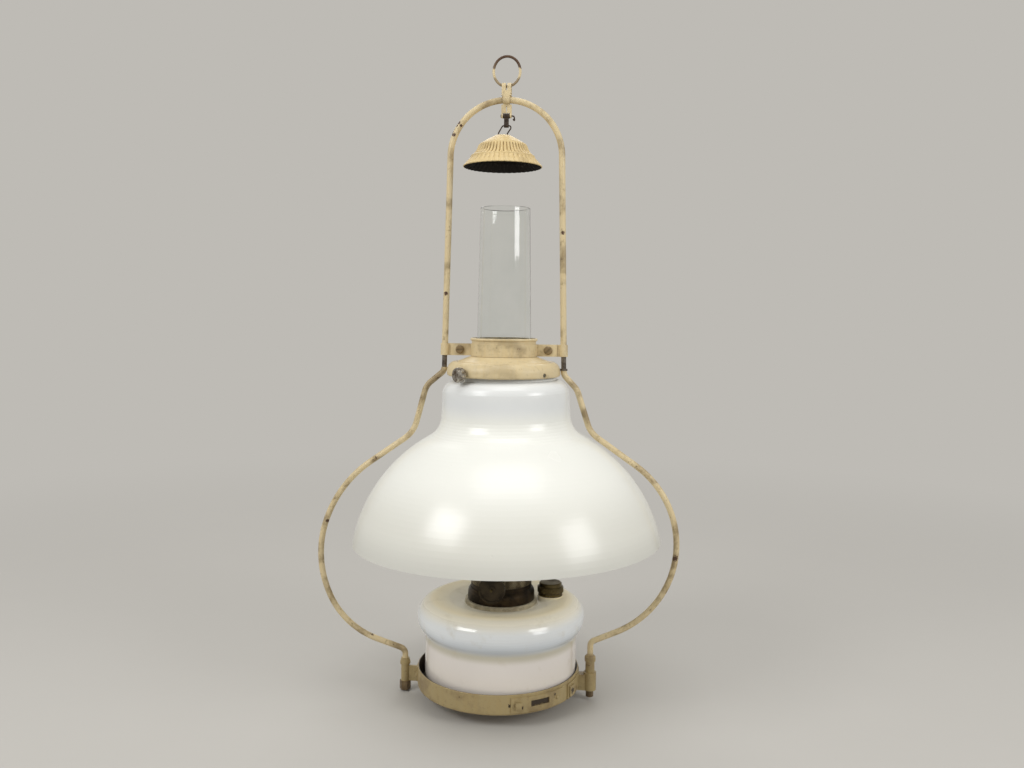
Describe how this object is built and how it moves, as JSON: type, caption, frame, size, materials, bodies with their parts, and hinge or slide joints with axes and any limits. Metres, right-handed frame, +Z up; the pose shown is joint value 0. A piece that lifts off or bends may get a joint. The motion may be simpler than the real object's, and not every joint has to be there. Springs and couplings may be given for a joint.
{
  "type": "hanging oil lamp",
  "caption": "Hanging oil lamp: ring and bail with a smoke bell, bent arms, opal shade in a holder, clear chimney, wick burner and an opal glass font in a band.",
  "frame": {"origin": "inside top of the hanging ring, where a hook carries the lamp, on the lamp's upright axis", "axes": "+Z up along the lamp's axis, +X to the right across the bail and arms, -Y to the front, where the thumbwheel is"},
  "size_m": [0.3717, 0.3112, 0.6458],
  "materials": {
    "cream_paint": "worn cream paint over steel, chipped to rust",
    "rusty_steel": "bare steel gone dark brown with rust",
    "bare_steel": "dull grey",
    "nickel": "old nickel plate",
    "bronze": "brass darkened to brown",
    "old_brass": "olive tarnish",
    "opal_glass": "white opal, polished",
    "clear_glass": "clear, polished",
    "gasket_rubber": "matte",
    "wick_cotton": "woven cotton"
  },
  "bodies": {
    "ring": {"hanging_ring": "rusty_steel"},
    "hanger": {"hanger_strap": "cream_paint", "hanger_pin": "rusty_steel"},
    "link": {"bell_link": "bronze"},
    "bell": {"bell_loop": "rusty_steel", "smoke_bell": "cream_paint"},
    "frame": {"bail": "cream_paint", "left_arm": "cream_paint", "right_arm": "cream_paint", "rear_clamp_strap": "cream_paint", "front_clamp_strap": "cream_paint", "clamp_screws": "cream_paint", "clamp_nuts": "rusty_steel", "shade_fitter": "cream_paint", "shade": "opal_glass", "font_band": "cream_paint", "band_clasp": "cream_paint", "band_rivets": "cream_paint", "left_socket": "cream_paint", "right_socket": "cream_paint", "arm_collars": "cream_paint", "arm_nuts": "rusty_steel"},
    "front_screw": {"shade_screw_front": "nickel"},
    "right_screw": {"shade_screw_right": "nickel"},
    "left_screw": {"shade_screw_left": "nickel"},
    "font": {"font": "opal_glass", "font_collar": "bare_steel", "filler_neck": "old_brass", "burner_base": "bronze", "burner_basket": "bronze", "outer_wick_tube": "bronze", "inner_wick_tube": "bronze", "flame_spreader": "bronze"},
    "wick": {"wick": "wick_cotton", "wick_carrier": "old_brass"},
    "wheel": {"wick_shaft": "old_brass", "wick_pinion": "old_brass", "thumbwheel": "old_brass"},
    "gallery": {"gallery": "bronze"},
    "chimney": {"chimney": "clear_glass"},
    "gasket": {"filler_gasket": "gasket_rubber"},
    "cap": {"filler_cap": "old_brass"}
  },
  "joints": [
    {"name": "hanger_swing", "type": "hinge", "parent": "ring", "child": "hanger", "pos_m": [0, 0, -0.0276], "axis": [1, 0, 0], "range_deg": [-35, 35]},
    {"name": "bail_swing", "type": "hinge", "parent": "hanger", "child": "frame", "pos_m": [0, 0, -0.0407], "axis": [1, 0, 0], "range_deg": [-25, 25]},
    {"name": "link_swing", "type": "hinge", "parent": "hanger", "child": "link", "pos_m": [0, 0, -0.0561], "axis": [-1, 0, 0], "range_deg": [-70, 70]},
    {"name": "bell_swing", "type": "hinge", "parent": "link", "child": "bell", "pos_m": [0, 0, -0.0655], "axis": [1, 0, 0], "range_deg": [-30, 30]},
    {"name": "front_screw_turn", "type": "hinge", "parent": "frame", "child": "front_screw", "pos_m": [0, 0, -0.3094], "axis": [-0.6018, -0.7986, 0], "range_deg": [0, 360]},
    {"name": "right_screw_turn", "type": "hinge", "parent": "frame", "child": "right_screw", "pos_m": [0, 0, -0.3094], "axis": [0.6428, 0.766, 0], "range_deg": [0, 360]},
    {"name": "left_screw_turn", "type": "hinge", "parent": "frame", "child": "left_screw", "pos_m": [0, 0, -0.3094], "axis": [-0.766, 0.6428, 0], "range_deg": [0, 360]},
    {"name": "font_lift", "type": "slide", "parent": "frame", "child": "font", "axis": [0, 0, 1], "range_m": [0, 0.018]},
    {"name": "wick_turn", "type": "hinge", "parent": "font", "child": "wheel", "pos_m": [0, 0, -0.5179], "axis": [-0.0767, -0.9971, 0], "range_deg": [-86, 86]},
    {"name": "wick_raise", "type": "slide", "parent": "font", "child": "wick", "axis": [0, 0, 1], "range_m": [-0.0061, 0.0061]},
    {"name": "gallery_turn", "type": "hinge", "parent": "font", "child": "gallery", "pos_m": [0, 0, -0.4904], "axis": [0, 0, 1], "range_deg": [0, 20]},
    {"name": "chimney_lift", "type": "slide", "parent": "gallery", "child": "chimney", "axis": [0, 0, 1], "range_m": [0, 0.02]},
    {"name": "gasket_lift", "type": "slide", "parent": "font", "child": "gasket", "axis": [0, 0, 1], "range_m": [0, 0.0016]},
    {"name": "filler_turn", "type": "hinge", "parent": "gasket", "child": "cap", "pos_m": [0.05, 0.01, -0.5291], "axis": [0, 0, 1], "range_deg": [0, 360]}
  ],
  "couplings": [
    {"joint": "wick_raise", "follows": "wick_turn", "m_per_rad": 0.004},
    {"joint": "gasket_lift", "follows": "filler_turn", "m_per_rad": 0.00023873}
  ]
}
